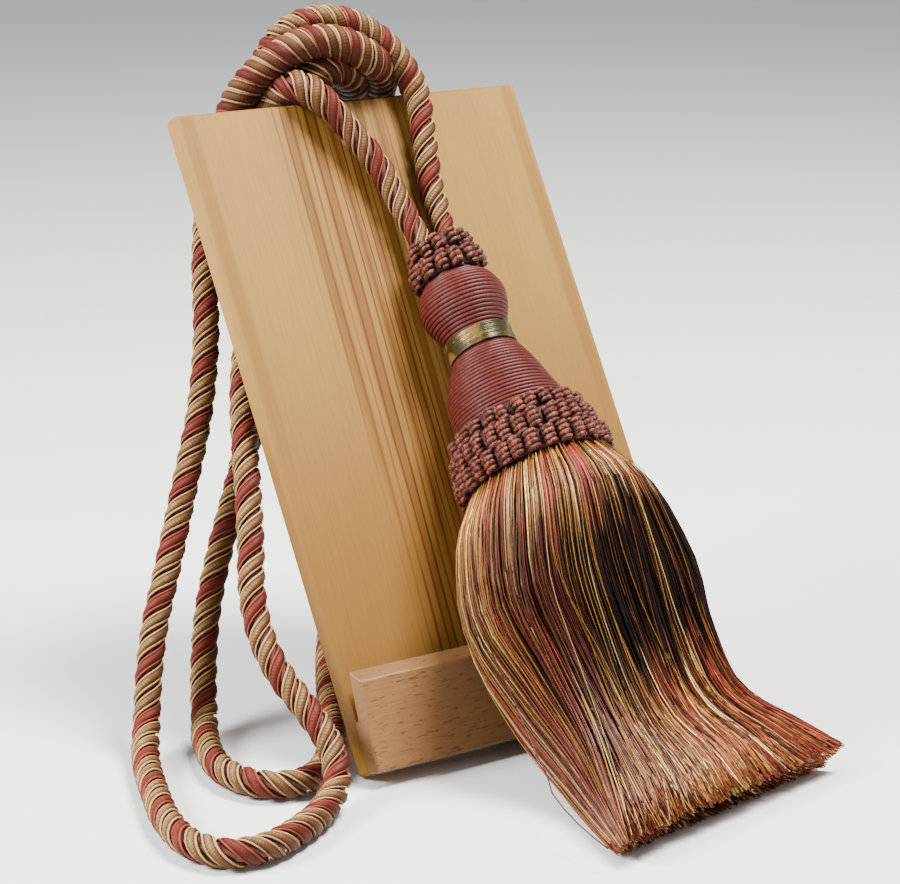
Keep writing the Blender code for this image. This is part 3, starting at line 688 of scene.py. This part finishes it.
def rope_centre(step):
    """Centre line of the rope, eased between its route's points, and the distance along it."""
    knots = np.array([point for *_, points in ROPE_STRETCHES for point in points])
    fine, _ = even_points(smooth_route(knots), ROUTE_STEP)
    for _ in range(ROUTE_ROUNDS):
        fine[1:-1] = 0.25 * fine[:-2] + 0.5 * fine[1:-1] + 0.25 * fine[2:]
    return even_points(fine, step)


def rope_lay(centre, distance):
    """Twist angle, ply radius, ply distance and darkness at each point of the rope."""
    rows = np.zeros((len(distance), 4))
    start = 0
    for pitch, radius, offset, dark, points in ROPE_STRETCHES:
        start += int(np.argmin(np.linalg.norm(centre[start:] - np.array(points[0]), axis=1)))
        rows[start:] = (1.0 / pitch, radius, offset, dark)
    width = int(ROPE_EASE / ROPE_FINE_STEP)
    window = np.hanning(width + 2)[1:-1]
    padded = np.pad(rows, ((width, width), (0, 0)), mode="edge")
    eased = [np.convolve(column, window / window.sum(), "same")[width:-width] for column in padded.T]
    turn = ROPE_PHASE + math.tau * np.cumsum(eased[0]) * (distance[1] - distance[0])
    return turn, *eased[1:]


def rope_rings():
    """Centre, twist angle, ply radius, ply distance and darkness at even steps of the twist."""
    centre, distance = rope_centre(ROPE_FINE_STEP)
    turn, radius, offset, dark = rope_lay(centre, distance)
    near = np.minimum(distance, distance[-1] - distance)
    scale = ROPE_END_SCALE + (1.0 - ROPE_END_SCALE) * np.minimum(1.0, near / ROPE_END_TAPER)
    count = int((turn[-1] - turn[0]) / math.tau * LAY_STEPS)
    at = np.linspace(turn[0], turn[-1], count)
    rows = [*centre.T, radius * scale, offset * scale, dark]
    even = np.array([np.interp(at, turn, row) for row in rows])
    return even[:3].T, at, even[3], even[4], even[5]


class TubeSet:
    """Tubes of one mesh, with the values of their points and the material of each."""

    def __init__(self):
        self.points, self.faces, self.looks = [], [], []
        self.values = {"along": [], "shade": []}
        self.count = 0

    def add(self, middle, outward, radius, sides, shade, look):
        """One tube; shade gives a value for each side's angle from outward, for all rings or each."""
        tangent = unit(np.gradient(middle, axis=0))
        outward = across_curve(outward, tangent)
        beside = np.cross(tangent, outward)
        wall, angles = tubes(middle[None], radius[None], sides, (outward[None], beside[None]))
        for item in tube_faces(1, len(middle), sides):
            self.faces.append(item + self.count)
            self.looks.append(np.full(len(item), look))
        self.points.append(wall.reshape(-1, 3))
        self.values["along"].append(np.repeat(run_lengths(middle[None])[0], sides))
        self.values["shade"].append(np.broadcast_to(shade(angles), (len(middle), sides)).ravel())
        self.count += len(middle) * sides


def build_rope():
    """Three plies, one coral and two gold-beige, twisted round the route."""
    centre, turn, radius, offset, dark = rope_rings()
    across, other = (f[0] for f in carried_frames(centre[None]))
    # painted shade: the plies of the darker stretches get a lower shade value
    bright = 1.0 - dark[:, None]
    rope = TubeSet()
    rope.add(centre, across, offset * CORE_SHARE, CORE_SIDES, np.zeros_like, CORE_LOOK)
    for ply, look in enumerate(PLY_LOOKS):
        bearing = (turn + ply * math.tau / len(PLY_LOOKS))[:, None]
        outward = across * np.cos(bearing) + other * np.sin(bearing)
        middle = centre + outward * offset[:, None]
        # painted shade: each ply's shade value falls away from its outward side, and in darker stretches
        rope.add(middle, outward, radius, PLY_SIDES,
                 lambda angles: (0.5 + 0.5 * np.cos(angles)) * bright, look)
        beside = np.cross(unit(np.gradient(middle, axis=0)), outward)
        for angle, share in EDGE_YARNS:
            spoke = outward * math.cos(angle) + beside * math.sin(angle)
            edge = middle + spoke * radius[:, None]
            # the edge yarns stay nearly unshaded, with a little painted shade away from their outward side
            rope.add(edge, outward, radius * share, EDGE_SIDES,
                     lambda angles: EDGE_SHADE[0] + EDGE_SHADE[1] * np.cos(angles), look)
    looks = [ply_material("rope_coral", "rope_coral", "rope_rose", 0.1),
             ply_material("rope_gold", "rope_gold", "rope_tan", 0.25), core_material()]
    values = {key: np.concatenate(item) for key, item in rope.values.items()}
    piece = mesh_object("twisted_rope", np.concatenate(rope.points), rope.faces, looks, values,
                        looks=np.concatenate(rope.looks))
    finish_piece(piece, "tie_rope")
    path, run = rope_centre(CORD_STEP)


# ---- tassel head ----
def to_frame(points):
    """Points in the head's own axes, with -Z down the head, moved to the frame."""
    turned = Euler((-HEAD_LEAN, HEAD_TURN, 0.0)).to_matrix()
    return points @ np.array(turned).T + np.array(HEAD_TOP)


def off_board(points):
    """Points that would sink into the board moved to just in front of it."""
    outward = np.array((0.0, -math.cos(BOARD_LEAN), math.sin(BOARD_LEAN)))
    foot = np.array((0.0, TOE_Y, 0.0)) + outward * BOARD_THICKNESS
    distance = (points - foot) @ outward
    return points + outward * np.maximum(0.0, BOARD_CLEAR - distance)[..., None]


def profile_at(down):
    """Radius and shift of the mould at distances down its axis."""
    rows = np.array(MOULD_PROFILE)
    return np.interp(down, rows[:, 0], rows[:, 1]), np.interp(down, rows[:, 0], rows[:, 2])


def profile_path():
    """Distances down the axis, and how far each is along the mould's side."""
    down = np.linspace(MOULD_PROFILE[0][0] + WINDING_INSET, MOULD_PROFILE[-1][0] - WINDING_INSET,
                       PROFILE_POINTS)
    side = np.stack([down, profile_at(down)[0]], axis=1)
    return down, run_lengths(side[None])[0]


def build_winding():
    """One cord wound from the neck to the foot of the mould, over its hidden core."""
    down, run = profile_path()
    turns = run[-1] / WINDING_PITCH
    count = int(turns * WINDING_STEPS)
    along_side = np.linspace(0.0, run[-1], count)
    place = np.interp(along_side, run, down)
    eased = np.convolve(np.pad(profile_at(place)[0], WINDING_STEPS, mode="edge"),
                        np.ones(WINDING_STEPS) / WINDING_STEPS, "same")[WINDING_STEPS:-WINDING_STEPS]
    shift = profile_at(place)[1]
    angle = math.tau * along_side / WINDING_PITCH
    radius = eased - WINDING_RADIUS * WINDING_SUNK
    centres = np.stack([radius * np.cos(angle) + shift, radius * np.sin(angle), -place], axis=1)
    outward = np.stack([np.cos(angle), np.sin(angle), np.zeros(count)], axis=1)
    tangent = unit(np.gradient(centres, axis=0))
    outward = across_curve(outward, tangent)
    frames = (outward[None], np.cross(tangent, outward)[None])
    wall, angles = tubes(centres[None], np.full((1, count), WINDING_RADIUS), WINDING_SIDES, frames)
    length = run_lengths(centres[None])[0]
    # shade: painted shade, from 1 on the outward side to 0 between the rings
    values = {"along": np.repeat(length, WINDING_SIDES), "around": np.tile(angles / math.tau, count),
              "shade": np.tile(0.5 + 0.5 * np.cos(angles), count)}
    points = off_board(to_frame(wall.reshape(-1, 3)))
    piece = mesh_object("wound_head", points, tube_faces(1, count, WINDING_SIDES),
                        [wound_material()], values)
    finish_piece(piece, "head_mould")


def build_band():
    """Gold threads laid round the waist."""
    angle = np.linspace(0.0, math.tau, BAND_STEPS, endpoint=False)
    height, waves, shift = BAND_WAVER
    rings = []
    for thread in range(BAND_THREADS):
        share = thread / (BAND_THREADS - 1)
        down = BAND_START + BAND_THREAD_RADIUS + share * (BAND_END - BAND_START - 2 * BAND_THREAD_RADIUS)
        radius = BAND_RADIUS - BAND_THREAD_RADIUS - BAND_DIP * math.sin(math.pi * share)
        waver = height * np.sin(waves * angle + thread * shift)
        rings.append(np.stack([radius * np.cos(angle), radius * np.sin(angle), -down + waver], axis=1))
    centres = np.array(rings)
    outward = np.stack([np.cos(angle), np.sin(angle), np.zeros(BAND_STEPS)], axis=1)
    outward = outward[None].repeat(BAND_THREADS, 0)
    upward = np.zeros_like(outward)
    upward[..., 2] = 1.0
    radii = np.full((BAND_THREADS, BAND_STEPS), BAND_THREAD_RADIUS * BAND_THREAD_WIDER)
    wall, _ = tubes(centres, radii, BAND_SIDES, (outward, upward))
    thread, step, side = np.indices((BAND_THREADS, BAND_STEPS, BAND_SIDES))
    here = (thread * BAND_STEPS + step) * BAND_SIDES
    there = (thread * BAND_STEPS + (step + 1) % BAND_STEPS) * BAND_SIDES
    after = (side + 1) % BAND_SIDES
    faces = np.stack([here + side, there + side, there + after, here + after], axis=-1).reshape(-1, 4)
    piece = mesh_object("waist_threads", to_frame(wall.reshape(-1, 3)), [faces], [band_material()])
    finish_piece(piece, "waist_band")


def loop_curves(row, chance):
    """Centre lines of a row's loops: each is a cord coiled round an upright line."""
    start, end, middle, coil, loops, pitch, stray = row
    uneven, bulges, shifts = LOOP_UNEVEN
    turns = (end - start - 2 * LOOP_CORD) / pitch
    count = int(turns * LOOP_STEPS)
    share = np.linspace(0.0, 1.0, count)
    curves = []
    for loop in range(loops):
        bearing = math.tau * (loop + chance.uniform(-uneven, uneven)) / loops
        outward = np.array((math.cos(bearing), math.sin(bearing), 0.0))
        beside = np.array((-math.sin(bearing), math.cos(bearing), 0.0))
        lean = chance.uniform(-stray, stray)
        bulge = chance.uniform(-bulges, bulges) * stray
        shift = chance.uniform(-shifts, shifts) * stray
        phase = chance.uniform(0.0, math.tau)
        size = (coil - LOOP_CORD) * chance.uniform(*LOOP_SIZES)
        angle = phase + math.tau * turns * share
        down = start + LOOP_CORD + shift + share * (end - start - 2 * LOOP_CORD)
        arch = bulge + coil * LOOP_ARCH
        swell = middle - coil * LOOP_INSET + arch * np.sin(math.pi * share)
        sideways = lean * (share - 0.5) * 2.0 + size * np.cos(angle)
        curve = outward * (swell + size * np.sin(angle))[:, None] + beside * sideways[:, None]
        curve[:, 2] = -down
        curves.append(curve)
    return np.array(curves)


def build_ruffs():
    """Rows of coiled cord loops round the neck and round the mould's foot."""
    chance = np.random.default_rng(RUFF_SEED)
    look = loop_material()
    tapering, least = LOOP_ENDS
    for name, row in RUFF_ROWS.items():
        start, end, middle, coil = row[:4]
        curves = loop_curves(row, chance)
        count, rings = curves.shape[:2]
        ring = np.arange(rings)
        ends = np.minimum(1.0, np.minimum(ring, ring[::-1]) / tapering)
        radii = np.tile(LOOP_CORD * (least + (1.0 - least) * ends), (count, 1))
        wall, angles = tubes(curves, radii, LOOP_SIDES)
        length = run_lengths(curves)
        out = np.hypot(wall[..., 0], wall[..., 1])
        # painted shade: low towards the inside of the row; the ring behind the loops gets RING_SHADE
        shade = np.clip((out - middle + LOOP_SHADE[0] * coil) / (LOOP_SHADE[1] * coil), 0.0, 1.0)
        core = core_ring(start + RING_INSET, end - RING_INSET, middle - LOOP_INSET * coil)
        points = np.concatenate([wall.reshape(-1, 3), core[0]])
        faces = tube_faces(count, rings, LOOP_SIDES) + [core[1] + count * rings * LOOP_SIDES]
        pad = np.zeros(len(core[0]))
        values = {"along": np.concatenate([np.repeat(length.ravel(), LOOP_SIDES), pad]),
                  "around": np.concatenate([np.tile(angles / math.tau, count * rings), pad]),
                  "shade": np.concatenate([shade.ravel(), pad + RING_SHADE])}
        piece = mesh_object(name + "_loops", off_board(to_frame(points)), faces, [look], values)
        finish_piece(piece, name)


def core_ring(start, end, radius, steps=48, thickness=1.5):
    """Closed ring behind a row of loops that holds them together."""
    angle = np.arange(steps) * math.tau / steps
    section = ((start, radius - thickness), (start, radius), (end, radius), (end, radius - thickness))
    points = np.array([[(r * math.cos(a), r * math.sin(a), -s) for s, r in section] for a in angle])
    step, side = np.indices((steps, 4))
    here, there, after = step * 4, (step + 1) % steps * 4, (side + 1) % 4
    faces = np.stack([here + side, here + after, there + after, there + side], axis=-1)
    return points.reshape(-1, 3), faces.reshape(-1, 4)


# ---- fringe ----
def fringe_sections(times):
    """Sections of the bundle at shares of its length, a column for each name."""
    rows = np.array(FRINGE_SECTIONS)
    rows[0, FRINGE_COLUMNS.index("half_width")] = ROOT_WIDTH
    rows[0, FRINGE_COLUMNS.index("half_depth")] = ROOT_WIDTH
    last = len(rows) - 1
    place = np.clip(times, 0.0, 1.0) * last
    index = np.minimum(place.astype(int), last - 1)
    part = (place - index)[..., None]
    low, high = rows[index], rows[index + 1]
    before, after = rows[np.maximum(index - 1, 0)], rows[np.minimum(index + 2, last)]
    slope_low = (high - before) * np.where(index > 0, 0.5, 1.0)[..., None]
    slope_high = (after - low) * np.where(index + 2 <= last, 0.5, 1.0)[..., None]
    cube, square = part ** 3, part ** 2
    values = ((2 * cube - 3 * square + 1) * low + (cube - 2 * square + part) * slope_low
              + (3 * square - 2 * cube) * high + (cube - square) * slope_high)
    return {name: values[..., k] for k, name in enumerate(FRINGE_COLUMNS)}


def disc_from_square(u, v):
    """Points of the unit disc that match points of the square from -1 to 1."""
    wide = np.abs(u) > np.abs(v)
    safe_u, safe_v = np.where(u == 0, 1e-9, u), np.where(v == 0, 1e-9, v)
    radius = np.where(wide, u, v)
    angle = np.where(wide, math.pi / 4 * v / safe_u, math.pi / 2 - math.pi / 4 * u / safe_v)
    return radius * np.cos(angle), radius * np.sin(angle)


def bundle_points(times, u, v):
    """Places in the bundle; u runs across it and v from its underside to its top."""
    cut = fringe_sections(times)
    disc_x, disc_y = disc_from_square(u, v)
    roundness = np.clip(cut["round"], 0.0, 1.0)
    x = (disc_x * roundness + u * (1.0 - roundness)) * cut["half_width"]
    y = (disc_y * roundness + v * (1.0 - roundness)) * cut["half_depth"]
    turn, lean = np.radians(cut["turn"]), np.radians(cut["lean"])
    zero = np.zeros_like(x)
    width = np.stack([np.cos(turn), np.sin(turn), zero], axis=-1)
    depth = np.stack([zero, -np.sin(lean), np.cos(lean)], axis=-1)
    centre = np.stack([cut["x"], cut["y"], cut["z"]], axis=-1)
    return centre + width * x[..., None] + depth * y[..., None]


def strand_places(chance):
    """u and v of every strand at its root."""
    inside = chance.uniform(-INSIDE_REACH, INSIDE_REACH, (STRANDS_INSIDE, 2))
    bearing = chance.uniform(0.0, math.tau, STRANDS_SKIN)
    reach = 1.0 / np.maximum(np.abs(np.cos(bearing)), np.abs(np.sin(bearing)))
    depth = 1.0 - SKIN_DEPTH * chance.uniform(0.0, 1.0, STRANDS_SKIN) ** SKIN_BUNCH
    skin = np.stack([np.cos(bearing), np.sin(bearing)], axis=1) * (reach * depth)[:, None]
    loose = np.stack([chance.uniform(*LOOSE_SPAN, STRANDS_LOOSE), np.ones(STRANDS_LOOSE)], axis=1)
    return np.concatenate([inside, skin, loose])


def smoothstep(value, low, high):
    """0 below low, 1 above high, eased between."""
    share = np.clip((value - low) / (high - low), 0.0, 1.0)
    return share * share * (3.0 - 2.0 * share)


def coral_share(u, times):
    """How many of the strands are coral there: bands at the root, more on the right lower down."""
    bands = sum(np.exp(-((u - middle) / half) ** 2) for middle, half in CORAL_BANDS)
    root = 0.2 + 0.7 * np.minimum(bands, 1.0)
    low = 0.38 + 0.28 * smoothstep(u, -0.1, 0.7) + 0.15 * (1.0 - smoothstep(u, -0.9, -0.4))
    fade = smoothstep(times, 0.15, 0.6)
    return root * (1.0 - fade) + low * fade


def brown_share(u, v, times):
    """How many of the strands are dyed dark there: a pool right of the middle, and inside and underneath
    the bundle, where the dark dye is also painted shade.
    """
    start, end = 0.22 - 0.07 * u, 0.55 - 0.04 * u
    pool = (smoothstep(u, -1.05, -0.65) * smoothstep(times, start - 0.1, start + 0.08)
            * (1.0 - smoothstep(times, end - 0.06, end + 0.14)))
    # inside and underneath: dark dye that also stands in for the shade there
    inner = (1.0 - smoothstep(v, 0.1, 0.75)) * (1.0 - smoothstep(np.abs(u), 0.8, 0.95))
    inner = inner * (1.0 - 0.55 * smoothstep(times, 0.85, 0.98))
    return np.maximum(0.12 + 0.96 * pool, 0.85 * inner)


def shaded(first, second, mask):
    """Colours of the first kind turning into the second where the mask is 1."""
    return first * (1.0 - mask[..., None]) + second * mask[..., None]


def picked(chance, names, count):
    """One of the named colours for each strand, the same along it."""
    table = np.array([linear(name) for name in names])
    return table[chance.integers(0, len(names), count)][:, None, :]


def strand_colours(u, v, times, chance, loose):
    """Dye of every strand at every ring, as linear colours, with painted shade on the bundle's left flank.
    """
    count = len(u)
    golds = picked(chance, ("gold", "gold", "gold", "cream", "tan", "tan"), count)
    corals = picked(chance, ("coral", "rose"), count)
    darks = picked(chance, ("brown", "brown", "umber"), count)
    darks = shaded(darks, picked(chance, ("maroon",), count), 1.0 - smoothstep(u, -0.7, -0.35))
    pick = chance.uniform(0.0, 1.0, (count, 1))
    coral = smoothstep(coral_share(u, times), pick - DYE_SOFT, pick + DYE_SOFT)
    pick = chance.uniform(0.0, 1.0, (count, 1))
    brown = smoothstep(brown_share(u, v, times), pick - DYE_SOFT, pick + DYE_SOFT)
    coral[loose] = 0.0
    brown[loose] = 0.0
    coral[-1] = 1.0
    # painted shade on the bundle's left flank; the strands are also made lighter near the root
    painted_flank_shade = smoothstep(v, -0.9, -0.4) * (1.0 - smoothstep(u, -0.8, -0.2))
    painted_flank_shade = painted_flank_shade * smoothstep(times, 0.1, 0.3) * (1.0 - 0.55 * smoothstep(times, 0.7, 0.95))
    light = (1.0 - 0.55 * painted_flank_shade) * (1.0 + 0.14 * (1.0 - smoothstep(times, 0.1, 0.35)))
    bright = chance.uniform(*STRAND_BRIGHT, (count, 1, 1)) * light[..., None]
    bright[loose] *= LOOSE_BRIGHT
    colour = shaded(shaded(golds, corals, coral) * bright, darks, brown)
    colour[..., 3] = 1.0
    return colour


def strand_paths(chance, roots, loose):
    """u, v and share of the length of every strand's rings."""
    count = len(roots)
    under = (1.0 - roots[:, 1]) / 2.0
    reach = 1.0 - chance.uniform(0.0, STRAND_RAGGED, count) - UNDER_SHORT * under
    times = np.linspace(0.0, 1.0, STRAND_RINGS)[None, :] * reach[:, None]
    kind = loose.astype(int)[:, None]
    drift = chance.normal(0.0, 1.0, (count, 1)) * np.array(DRIFTS)[kind]
    wave = chance.normal(0.0, 1.0, (count, 1)) * np.array(WAVES)[kind]
    phase = chance.uniform(0.0, math.tau, (count, 1))
    u = roots[:, :1] + drift * times ** 2.2 + wave * np.sin(phase + times * 6.0) * times
    most, middle, half = SWEEP
    sweep = most * np.exp(-((times - middle) / half) ** 2) * (1.0 - roots[:, :1] ** 2)
    v = roots[:, 1:] + chance.normal(0.0, 0.05, (count, 1)) * np.sin(times * 4.0 + phase)
    line = np.round(roots[:, :1] * LOCKS / 2.0 + chance.normal(0.0, 0.25, (count, 1))) * 2.0 / LOCKS
    pull = LOCK_PULL * smoothstep(times, 0.15, 0.7) * ~loose[:, None]
    u = u + (line - roots[:, :1]) * pull
    u, v = np.clip(u + sweep, -1.02, 1.02), np.clip(v, -1.0, 1.0) + LOOSE_LIFT * kind
    times[-1] *= STRAY_REACH / reach[-1]
    u[-1] = np.interp(times[-1], *zip(*STRAY_PATH))
    v[-1] = STRAY_HEIGHT
    return u, v, times


def build_fringe():
    """Fine strands from the mould's foot down to the table."""
    chance = np.random.default_rng(FRINGE_SEED)
    roots = strand_places(chance)
    number = np.arange(len(roots))
    loose = number >= STRANDS_INSIDE + STRANDS_SKIN
    u, v, times = strand_paths(chance, roots, loose)
    bow = 4.0 * times * (1.0 - times)
    bend = chance.normal(0.0, STRAND_BEND, (len(roots), 1, 3)) * bow[..., None]
    centres = bundle_points(times, u, v) + bend
    centres[..., 2] = np.maximum(centres[..., 2], STRAND_RADIUS + FLOOR_CLEAR)
    tip_start, tip_size = STRAND_TIP
    taper = np.interp(np.linspace(0.0, 1.0, STRAND_RINGS), (tip_start, 1.0), (1.0, tip_size))
    radii = STRAND_RADIUS * chance.uniform(*STRAND_SIZES, (len(roots), 1)) * taper[None]
    radii[loose] *= LOOSE_SIZE
    radii[-1] = STRAND_RADIUS
    wall, _ = tubes(centres, radii, STRAND_SIDES)
    tint = np.repeat(strand_colours(u, v, times, chance, loose)[:, :, None], STRAND_SIDES, axis=2)
    look = fringe_material()
    skin = (number >= STRANDS_INSIDE) & ~loose
    left, right = roots[:, 0] < -SKIN_MIDDLE, roots[:, 0] > SKIN_MIDDLE
    groups = {"fringe_core": number < STRANDS_INSIDE, "fringe_skin_left": skin & left,
              "fringe_skin_middle": skin & ~left & ~right, "fringe_skin_right": skin & right,
              "fringe_loose": loose}
    for name, chosen in groups.items():
        faces = tube_faces(int(chosen.sum()), STRAND_RINGS, STRAND_SIDES)
        piece = mesh_object(name, wall[chosen].reshape(-1, 3), faces, [look],
                            colours=tint[chosen].reshape(-1, 4))
        finish_piece(piece, "fringe")


# ---- stand, table, lights and camera ----
def dress_stand(nodes):
    """Pine on the board, the ledge and the foot."""
    board_tones = ("pine", "pine_line", "pine_pale", "pine_ring")
    ledge_tones = ("ledge", "ledge_line", "ledge_pale", "ledge_line")
    board = pine_material("pine_board", board_tones, False, -8.0, 39.0, 0.0)
    ledge = pine_material("pine_ledge", ledge_tones, True, 20.0, 9.0, 0.7)
    for name, look in (("stand_board", board), ("stand_ledge", ledge), ("stand_foot", board)):
        item = nodes[name]
        for place in item.material_slots:
            place.material = look


def build_table():
    """Plain pale table top under the stand."""
    half = TABLE_HALF
    corners = np.array([(-half, -half, 0.0), (half, -half, 0.0), (half, half, 0.0), (-half, half, 0.0)])
    piece = mesh_object("table_top", corners, [np.array([[0, 1, 2, 3]])], [table_material()])


def area_light(name, place, size, watts, colour):
    """Soft square light aimed at the object."""
    lamp = bpy.data.lights.new(name, "AREA")
    lamp.shape = "SQUARE"
    lamp.size = size
    lamp.energy = watts
    lamp.color = colour
    item = new_object(name, lamp)
    item.location = place
    item.rotation_euler = (Vector(LIGHT_TARGET) - Vector(place)).to_track_quat("-Z", "Y").to_euler()


def light_scene():
    """Soft light from the front right and from the left, and a pale room."""
    for name, row in LIGHTS.items():
        area_light(name, *row)
    world = bpy.data.worlds.new("room")
    world.use_nodes = True
    background = world.node_tree.nodes["Background"]
    background.inputs["Color"].default_value = ROOM_COLOUR
    background.inputs["Strength"].default_value = ROOM_STRENGTH
    bpy.context.scene.world = world


def place_camera():
    """Camera left of the front and a little above."""
    turn, rise = math.radians(CAMERA_AZIMUTH), math.radians(CAMERA_ELEVATION)
    forward = Vector((-math.sin(turn) * math.cos(rise), math.cos(turn) * math.cos(rise), -math.sin(rise)))
    camera = bpy.data.cameras.new("camera")
    camera.lens = CAMERA_LENS
    camera.sensor_width = SENSOR
    item = new_object("camera", camera)
    item.location = CAMERA_PLACE
    item.rotation_euler = forward.to_track_quat("-Z", "Y").to_euler()
    bpy.context.scene.camera = item


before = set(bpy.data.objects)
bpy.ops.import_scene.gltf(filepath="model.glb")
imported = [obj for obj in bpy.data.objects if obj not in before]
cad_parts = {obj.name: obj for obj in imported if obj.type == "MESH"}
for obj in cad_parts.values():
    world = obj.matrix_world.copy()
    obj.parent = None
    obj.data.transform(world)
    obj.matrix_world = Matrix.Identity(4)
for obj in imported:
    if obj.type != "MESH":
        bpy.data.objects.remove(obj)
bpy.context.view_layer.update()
place_camera()
build_rope()
build_winding()
build_band()
build_ruffs()
build_fringe()
dress_stand(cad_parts)
build_table()
light_scene()
bpy.context.view_layer.update()
